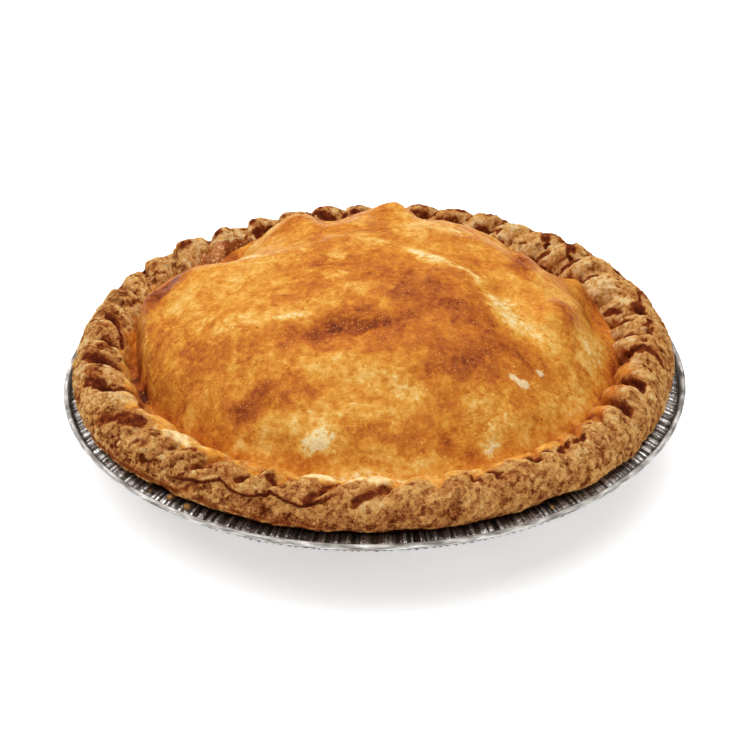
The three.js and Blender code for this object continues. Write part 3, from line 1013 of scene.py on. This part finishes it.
def lid_bake(lid):
    """How far the lid is baked: 0.42, its browned spots, smears that flow over it, pale
    veins along the zero lines of flowing noise, and streaks where its sides are steep."""
    bake = 0.42 + spots(lid.bent[..., 0], lid.bent[..., 1], BROWNED, 1.7)
    bake = bake + 0.09 * flowing(lid, 13, 21) + 0.11 * rough(lid.bent, 7, 22, 3)
    bake = bake + 0.03 * flowing(lid, 2.8, 28)
    bake = bake - 0.09 * hump(flowing(lid, 7, 26), 0, 0.1) * smoothstep(0.1, 0.5, noise(lid.flat, 30, 29))
    return bake + lid.steep * ((0.14 + 0.14 * lid.streak) * lid.sides - 0.02)


def lid_lumps(lid, bare):
    """How far the lid stands out, in mm: its folds, lumps from 30 mm down to 2 mm apart,
    fine streaks on its steep sides, bare flakes, and creases along noise's zero lines."""
    lumps = spots(lid.bent[..., 0], lid.bent[..., 1], LID_FOLDS, 1.6)
    lumps = lumps + 0.8 * noise(lid.flat, 19, 31) + 0.45 * noise(lid.bent, 8, 32)
    lumps = lumps + 0.3 * flowing(lid, 6, 35) + 0.1 * flowing(lid, 2.6, 28)
    lumps = lumps + 0.14 * rough(lid.flat, 4, 33, 2)
    lumps = lumps + lid.steep * 0.6 * lid.streak * lid.sides + 0.25 * bare
    return lumps - 0.3 * hump(rough(lid.flat, 30, 34, 2), 0, 0.04)


def make_lid():
    """The lid, each point moved out along its normal by its lumps, which fade out at the
    edge, and under it the base crust that fills the tin."""
    lid = lid_places()
    pale = spots(lid.bent[..., 0], lid.bent[..., 1], PALE, 1.5)
    bare = spots(lid.flat[..., 0], lid.flat[..., 1], FLAKES_BARE, 2) + 0.2 * noise(lid.flat, 1.5, 24)
    bare = smoothstep(0.4, 0.6, bare)
    lumps = lid_lumps(lid, bare) * smoothstep(1.0, 0.97, lid.share)
    top = lid.grid + normals(lid.grid, False) * lumps[..., None]
    bed = offset_line(tin_line(), FOIL + PIE_GAP)[::-1]
    bed = bed[bed[:, 0] < WALL_RADIUS - 2]
    under_rope = [(99, RIM + 4), (104, RIM + 1.5)]
    under = np.concatenate([under_rope, bed])
    below = polar(under[:, :1], lid.angle, under[:, 1:])
    values = {}
    for name, above, beneath in (("bake", lid_bake(lid), 0.6), ("pale", pale, 0.0), ("bare", bare, 0.0)):
        values[name] = np.concatenate([above, np.full(below.shape[:2], beneath)])
    make_piece("pie_lid", np.concatenate([top, below]), lid_material(), "pastry", "pie", **values)


# The crimped edge


def crimp_angle(crimp):
    """Where a crimp lies round the edge. The pitch is uneven, as crimps made by hand are."""
    even = TAU * crimp / CRIMPS
    drift = np.sin(CRIMP_DRIFT_WAVES * even - math.radians(CRIMP_DRIFT_START))
    return even + math.radians(CRIMP_DRIFT) * drift


def dice(n):
    """A number from 0 to 1 for each whole number, always the same one."""
    x = np.sin(n * 12.9898 + 4.1) * 43758.5453
    return x - np.floor(x)


def near_angle(angle, degrees, reach):
    """1 at some degrees round the pie, falling off as exp(-(difference / reach)^2)."""
    return hump(way_round(np.degrees(angle), degrees), 0, reach)


def lobe_rise(crimp):
    """How far the rope stands out at a crimp, from 0 in a groove to about 1 on a lobe."""
    whole = np.floor(crimp + 0.5)
    across = crimp + 0.5 - whole
    size = 0.75 + 0.5 * dice(whole % CRIMPS)
    lean = LOBE_LEAN + TEETH_LEAN * near_angle(crimp_angle(crimp), TEETH_AT, TEETH_REACH)
    return size * np.sin(math.pi * across**lean) ** LOBE_FULLNESS


def rope_point(crimp, around):
    """The rope edge's surface as angle, radius and height, at a crimp and at degrees
    round the section: 180 faces the lid, 90 is the crest and 0 faces out."""
    slant = LOBE_SLANT * (np.clip(around, -58, 200) - 90) / 180
    angle = crimp_angle(crimp + slant)
    top = ROPE_TOP + ROPE_TILT * np.sin(angle) - ROPE_MIDDLE
    flat = 1 - 0.9 * near_angle(angle, 297, 22) + 0.5 * near_angle(angle, TEETH_AT, TEETH_REACH)
    turn = np.radians(around)
    outward, upward = np.cos(turn), np.sin(turn)
    lobes = smoothstep(20, 90, around) * smoothstep(215, 175, around)
    out = LOBE * flat * lobes * (lobe_rise(crimp) - LOBE_MEAN)
    reach = np.where(upward > 0, top + out, ROPE_UNDERCUT)
    radius = ROPE_RADIUS + (ROPE_WIDTH + out) * outward
    return angle, radius, RIM + ROPE_MIDDLE + reach * upward


def read_off(degrees, rows):
    """The second column of a table at some degrees round the pie, its first column."""
    at, value = np.array(rows).T
    return np.interp(degrees % 360, at, value)


def rope_places():
    """The rope's grid before its lumps, and where each point lies: on its crimp, round
    the pie, round the section, and on the folds as they are when unrolled."""
    columns = CRIMPS * COLUMNS_PER_CRIMP
    crimp = np.arange(columns)[None, :] / COLUMNS_PER_CRIMP
    crimp = crimp - read_off(np.degrees(crimp_angle(crimp)), STRAY) * CRIMPS / 360
    around = np.concatenate([np.linspace(*SEEN_ROWS), np.linspace(*HIDDEN_ROWS)])[:, None]
    angle, radius, height = rope_point(crimp, around)
    angle = angle + np.radians(read_off(np.degrees(angle), STRAY))
    grid = polar(radius, angle, height)
    out = normals(grid, True)
    degrees = np.degrees(angle)
    grid = grid + polar(read_off(degrees, OVERHANG) * smoothstep(75, 20, around), angle, 0)
    sway = 0.16 * noise(grid, 13, 40) + 0.07 * noise(grid, 5, 39)
    fold = crimp + sway
    side = fold + 0.5 - np.floor(fold + 0.5)
    wobble = 1.6 * noise(grid, 3.2, 54)
    left = np.maximum(-np.cos(angle), 0)
    right = np.maximum(np.cos(angle), 0)
    front = np.maximum(-np.sin(angle), 0)
    return SimpleNamespace(
        grid=grid,
        out=out,
        angle=angle,
        degrees=degrees,
        around=around,
        side=side,
        notch=np.minimum(side, 1 - side),
        folded=polar(UNROLLED_RADIUS, TAU * fold / CRIMPS, around * 0.19 * 0.45),
        lobe=lobe_rise(fold),
        marked=(degrees + wobble / MM_PER_TURN, around + wobble / MM_PER_AROUND),
        left=left,
        right=right,
        flanks=np.maximum(left, right),
        front=front,
        back=np.maximum(np.sin(angle), 0),
        calm=1 - 0.4 * front,
        teeth=near_angle(angle, TEETH_AT, TEETH_REACH),
    )


def mark_rope(rope):
    """Lays the drawn marks on the rope: the wash down to an uneven line, the strokes of
    the tables with ragged edges, and the lips that stand over the toasted ones."""
    grid, around = rope.grid, rope.around
    rope.tongue = strokes(*rope.marked, TONGUES)
    rope.glossy = strokes(*rope.marked, GLOSSY)
    rope.cream = strokes(*rope.marked, CREAM)
    rope.scorch = spread(*rope.marked, TOASTED)
    edge = read_off(rope.degrees, WASH_EDGE) + 16 * (rope.lobe - 0.6)
    edge = edge + 12 * noise(grid, 7, 52) + 9 * noise(grid, 2.5, 53)
    rope.wash = smoothstep(-8, 8, around - edge) * patchy(grid, 0.8, 0.7, 2.2, 60)
    rope.wash = rope.wash * (1 - rope.tongue)
    turned, rolled = rope.marked
    toast = strokes(turned, rolled, TOASTED)
    lip = strokes(turned + 1.4 * np.cos(rope.angle), rolled + 11 * rope.front, TOASTED)
    rope.lip = np.maximum(lip - 1.5 * toast, 0)
    toast = toast * np.clip(0.85 + 0.6 * noise(grid, 3, 45) + 0.3 * noise(grid, 1.2, 66), 0, 1)
    sharper = smoothstep(0.2, 0.5, toast) * np.maximum(toast, 0.6)
    rope.toast = toast + rope.flanks * (sharper - toast)
    rope.crease = hump(rope.notch, 0, 0.07) * smoothstep(45, 85, around) * smoothstep(205, 175, around)
    rope.above_crack = (around - read_off(rope.degrees, CRACK)) * MM_PER_AROUND + 0.5 * noise(grid, 3, 55)
    turn = rope.degrees % 360
    rope.cracked = smoothstep(229, 234, turn) * smoothstep(266, 261, turn)
    rope.crack = rope.cracked * hump(rope.above_crack, 0, 0.55)


def flake_rope(rope):
    """Breaks the rope into crumbs, ridges along its folds, and flakes with a lip beside
    each edge. They are weaker where the wash or a glossy band seals it."""
    grid, folded = rope.grid, rope.folded
    rope.dry = (1 - 0.65 * rope.wash) * (1 - 0.6 * rope.glossy)
    near, second, rope.number = cells(grid + 0.7 * noise(grid, 2.5, 48)[..., None], 2.3, 41)
    rope.crumbs = smoothstep(0, 0.3, second - near)
    rope.ridge = 0.35 - np.abs(noise(folded, 4.2, 47))
    layer = noise(folded, 4.5, 70)
    frayed = rope.dry * smoothstep(-0.1, 0.2, noise(grid, 9, 71)) * (0.3 + 0.7 * rope.flanks)
    rope.flake_edge = frayed * hump(layer, 0, 0.08)
    rope.flake_lip = frayed * hump(layer, 0.17, 0.08)


def rope_lumps(rope):
    """How far the rope stands out, in mm: lumps and crumbs, flakes with sunken edges,
    creases, toasted dents under raised lips, and the crack with its two sides apart."""
    grid, dry, calm, above = rope.grid, rope.dry, rope.calm, rope.above_crack
    fine = 0.3 * noise(rope.folded, 3.0, 43) + 0.3 * noise(grid, 1.6, 44)
    lumps = 0.7 * noise(grid, 11, 42) + dry * fine
    flaky = 0.7 * calm * rope.ridge + 0.1 * (rope.crumbs - 0.6) + 0.5 * calm * (rope.number - 0.5)
    lumps = lumps + dry * flaky
    lumps = lumps + 0.3 * rope.flake_lip - 0.4 * rope.flake_edge
    lumps = lumps - 0.9 * rope.crease - 1.0 * rope.toast + 0.8 * rope.lip + 0.8 * rope.tongue
    lumps = lumps + rope.cracked * 0.9 * np.clip(above / 0.5, -1, 1) * np.exp(-np.abs(above) / 4)
    return lumps - 0.9 * rope.crack


def rope_toast(rope):
    """How dark the rope is toasted: the most of its marks, the haze round them, the
    glossy bands, the tips of lobes, the hem over the rim, the seams and the crack."""
    grid, around, turn = rope.grid, rope.around, rope.degrees % 360
    haze = (0.34 + 0.1 * rope.left) * rope.scorch * patchy(grid, 0.7, 1, 4, 57)
    haze = np.maximum(haze, rope.glossy * patchy(grid, 0.85, 0.5, 3.5, 61))
    tips = 0.6 * smoothstep(0.62, 0.95, rope.lobe) * smoothstep(0.4, 0.8, rope.back) * hump(around, 74, 22)
    tips = tips * patchy(grid, 0.7, 1.2, 5, 58)
    caps = 1.1 * rope.teeth * hump(rope.side, 0.72, 0.16) * hump(around, 92, 15)
    caps = caps * patchy(grid, 0.9, 1, 3, 63)
    hem = smoothstep(203, 212, turn) * smoothstep(270, 258, turn)
    hem = 0.6 * hem * hump(around, 4, 7) * patchy(grid, 0.8, 1, 6, 59)
    seam = 0.55 * hump(rope.notch, 0, 0.035) * smoothstep(0.2, 0.5, rope.back) * smoothstep(60, 100, around)
    seam = seam * patchy(grid, 0.6, 1.2, 6, 62)
    return np.maximum.reduce([rope.toast, haze * (1 - rope.lip), tips, caps, hem, seam, rope.crack])


def rope_tone(rope):
    """How light the rope's dry dough is: 0.52 and its crumbs, ridges, lips and creases,
    then darker or lighter by side and by height, with blotches on the left. Low on the
    outer wall, most towards the front, it is darkened as painted shadow under the edge,
    and the inner faces at the back are lightened as painted light."""
    around, folded, calm, left = rope.around, rope.folded, rope.calm, rope.left
    tone = 0.52 + 0.22 * calm * (rope.number - 0.5) + (0.15 + 0.05 * left) * rough(folded, 3.4, 46, 3)
    tone = tone - 0.10 * (1 - rope.crumbs)
    tone = tone + 0.4 * calm * (rope.ridge - 0.05) - 0.12 * rope.crease + 0.22 * rope.lip
    tone = tone + 0.14 * rope.flake_lip - 0.3 * rope.flake_edge
    # painted shadow: the outer wall is darkened low down, most towards the front, where the edge overhangs
    # the flange
    below = smoothstep(60, 25, around)
    tone = tone - 0.18 * below * near_angle(rope.angle, 252, 32) - 0.06 * below * rope.front
    tone = tone + 0.08 * rope.right * smoothstep(60, 110, around)
    # painted light: the inner faces at the back and of the leaning teeth are lightened as if lit from the
    # front
    tone = tone + (0.08 * rope.back + 0.12 * rope.teeth) * smoothstep(90, 120, around)
    tone = tone + 0.16 * rope.tongue + 0.13 * rope.back
    tone = tone + left * (0.22 * noise(folded, 9, 64) + 0.14 * noise(folded, 5, 67))
    tone = tone + 0.35 * rope.teeth * noise(folded, 2.4, 65)
    tone = tone + 0.07 * left - 0.09 * left * smoothstep(40, 80, around)
    return tone + 0.5 * rope.cream


def make_rope(crust):
    """The crimped edge: the rope's section carried round the pie, each point moved out
    along its normal by its lumps. Gives its grid and the degrees round the pie."""
    rope = rope_places()
    mark_rope(rope)
    flake_rope(rope)
    around, left, right, back = rope.around, rope.left, rope.right, rope.back
    shown = smoothstep(-60, -45, around) * smoothstep(200, 190, around)
    grid = rope.grid + rope.out * (rope_lumps(rope) * shown)[..., None]
    bake = 0.34 + 0.2 * rough(grid, 9, 56, 3) + 0.2 * rope.crease
    bake = bake + 0.26 * smoothstep(0.3, 0.9, right) + 0.04 * smoothstep(0.3, 0.9, left)
    vary = 1 + left * (0.15 + 0.3 * back) + 0.15 * right - 0.1 * rope.front
    values = {
        "toast": rope_toast(rope),
        "wash": rope.wash,
        "crumb": rope_tone(rope),
        "bake": bake,
        "pale": spots(grid[..., 0], grid[..., 1], PALE) + rope.cream,
        "vary": vary + 0.3 * left * smoothstep(80, 40, around),
    }
    make_piece("pie_rim", grid, crust, "pastry", "pie", True, **values)
    return grid, rope.degrees


# Syrup and crumbs


def between(grid, row, column):
    """Points of a grid at places between its rows and columns, by their shares."""
    above = np.floor(row).astype(int)
    before = np.floor(column).astype(int)
    down = (row - above)[..., None]
    on = (column - before)[..., None]
    upper = grid[above, before] * (1 - on) + grid[above, before + 1] * on
    lower = grid[above + 1, before] * (1 - on) + grid[above + 1, before + 1] * on
    return upper * (1 - down) + lower * down


def make_syrup(name, grid, row, column, reach, tallest, bubble, light, deep):
    """A pool on the edge's own surface: at a share s of the way out to an uneven outline
    it is tallest * (1 - s^2) - 0.15 thick, with domes for bubbles, and it turns under."""
    turn = TAU * np.arange(SYRUP_COLUMNS) / SYRUP_COLUMNS
    share = np.sin(np.linspace(0.02, 1, SYRUP_ROWS) * math.pi / 2)[:, None]
    outline = 1 + 0.22 * np.cos(2 * turn + 1) + 0.18 * np.cos(3 * turn) + 0.12 * np.cos(5 * turn + 2)
    rows = row - reach[0] * share * outline * np.sin(turn)
    columns = column + reach[1] * share * outline * np.cos(turn)
    base = between(grid, rows, columns)
    near, _, number = cells(base, bubble, 71)
    bubbles = 0.7 * number * smoothstep(0.5, 0.1, near) * (1 - share**2) + 0.2 * noise(base, 3, 72)
    thick = tallest * (1 - share**2) - 0.15 + bubbles
    facing = between(normals(grid, True), rows, columns)
    top = base + facing * thick[..., None]
    under = base[-2::-1] - facing[-2::-1] * SYRUP_SUNK
    make_piece(name, np.concatenate([top, under]), syrup_material(name, light, deep), "pastry")


def make_crumbs(crust):
    """Crumbs that fell on the tin's flange: lumpy balls, radius * (1 + 0.5 noise)."""
    turn = TAU * np.arange(14) / 14
    down = np.linspace(0.2, math.pi - 0.2, 9)[:, None]
    ball = polar(np.sin(down), turn, np.cos(down))
    values = {"toast": 0, "wash": 0, "crumb": 0.5, "bake": 0, "pale": 0, "vary": 1}
    for number, (x, y, size) in enumerate(CRUMBS):
        lumpy = ball * (1 + 0.5 * noise(ball + 5 * number, 0.8, 81))[..., None]
        place = np.array([x, y, FLANGE_HEIGHT + FLANGE_RISE + 0.6 * size])
        grid = place + size * lumpy * (1, 1, 0.75)
        make_piece("fallen_crumb_%d" % (number + 1), grid, crust, "pastry", **values)


make_tin()
make_lid()
crust = crust_material()  # the edge and its crumbs are one dough
rim, rim_degrees = make_rope(crust)
for name, degrees, row, *look in SYRUP:
    column = int(np.argmin(np.abs(rim_degrees[row] - degrees)))
    make_syrup(name, rim, row, column, *look)
make_crumbs(crust)


# The floor, lights and camera

FLOOR_HALF = 6.0  # metres
FLOOR_GLOW = 0.45  # the floor is lit from below too, so shadows stay light
ROOM_LIGHT = 0.14
LAMPS = [  # name, place and width in metres, watts
    ("softbox_above", (-0.2, 0.3, 1.4), 2.6, 45),
    ("softbox_front", (0.5, -1.2, 0.9), 0.8, 3.5),
]
LAMPS_AIM = (0, 0, 0.03)  # metres
CAMERA_AWAY = 611  # from the middle of the rim
CAMERA_RISE = 29.98  # degrees above the horizon
CAMERA_ROLL = -0.75  # degrees
PICTURE = 750  # pixels
FOCAL = 1539  # pixels
AXIS_AT = (374.3, 362.9)  # the optical axis in the picture, in pixels
SENSOR = 36


def make_stage():
    """A pale floor under plain soft light: a wide softbox above and behind, and a fill."""
    material, shader = new_material("matt_white_backdrop")[:2]
    white = (1, 1, 1, 1)
    sockets = {"Base Color": colour("#FAFAFA"), "Roughness": 0.9}
    feed(shader, sockets | {"Emission Color": white, "Emission Strength": FLOOR_GLOW})
    mesh = bpy.data.meshes.new("floor")
    corners = [(-1, -1, 0), (1, -1, 0), (1, 1, 0), (-1, 1, 0)]
    mesh.from_pydata([(FLOOR_HALF * x, FLOOR_HALF * y, z) for x, y, z in corners], [], [(0, 1, 2, 3)])
    mesh.materials.append(material)
    floor = bpy.data.objects.new("floor", mesh)
    bpy.context.scene.collection.objects.link(floor)
    world = bpy.data.worlds.new("studio")
    world.use_nodes = True
    feed(world.node_tree.nodes["Background"], {"Color": white, "Strength": ROOM_LIGHT})
    bpy.context.scene.world = world
    for name, place, width, power in LAMPS:
        lamp = bpy.data.lights.new(name, "AREA")
        lamp.size = width
        lamp.energy = power
        made = bpy.data.objects.new(name, lamp)
        bpy.context.scene.collection.objects.link(made)
        facing = np.array(place) - LAMPS_AIM
        tilt = math.acos(facing[2] / np.linalg.norm(facing))
        made.location = place
        made.rotation_euler = (tilt, 0, math.atan2(facing[1], facing[0]) + math.pi / 2)
    bpy.context.scene.view_settings.view_transform = "Standard"


def make_camera():
    """The photograph's view, found from the ellipse of the tin's rim."""
    rise = math.radians(CAMERA_RISE)
    roll = math.radians(CAMERA_ROLL)
    ahead = np.array([0, math.cos(rise), -math.sin(rise)])
    up = np.array([0, math.sin(rise), math.cos(rise)])
    right = np.array([1.0, 0, 0])
    camera_right = math.cos(roll) * right + math.sin(roll) * up
    camera_up = math.cos(roll) * up - math.sin(roll) * right
    place = (np.array([0, 0, RIM]) - CAMERA_AWAY * ahead) * MM
    data = bpy.data.cameras.new("camera")
    data.sensor_width = SENSOR
    data.lens = FOCAL / PICTURE * SENSOR
    data.shift_x = 0.5 - AXIS_AT[0] / PICTURE
    data.shift_y = AXIS_AT[1] / PICTURE - 0.5
    camera = bpy.data.objects.new("camera", data)
    matrix = np.eye(4)
    matrix[:3, 0] = camera_right
    matrix[:3, 1] = camera_up
    matrix[:3, 2] = -ahead
    matrix[:3, 3] = place
    camera.matrix_world = Matrix(matrix.tolist())
    bpy.context.scene.collection.objects.link(camera)
    bpy.context.scene.camera = camera


make_stage()
make_camera()
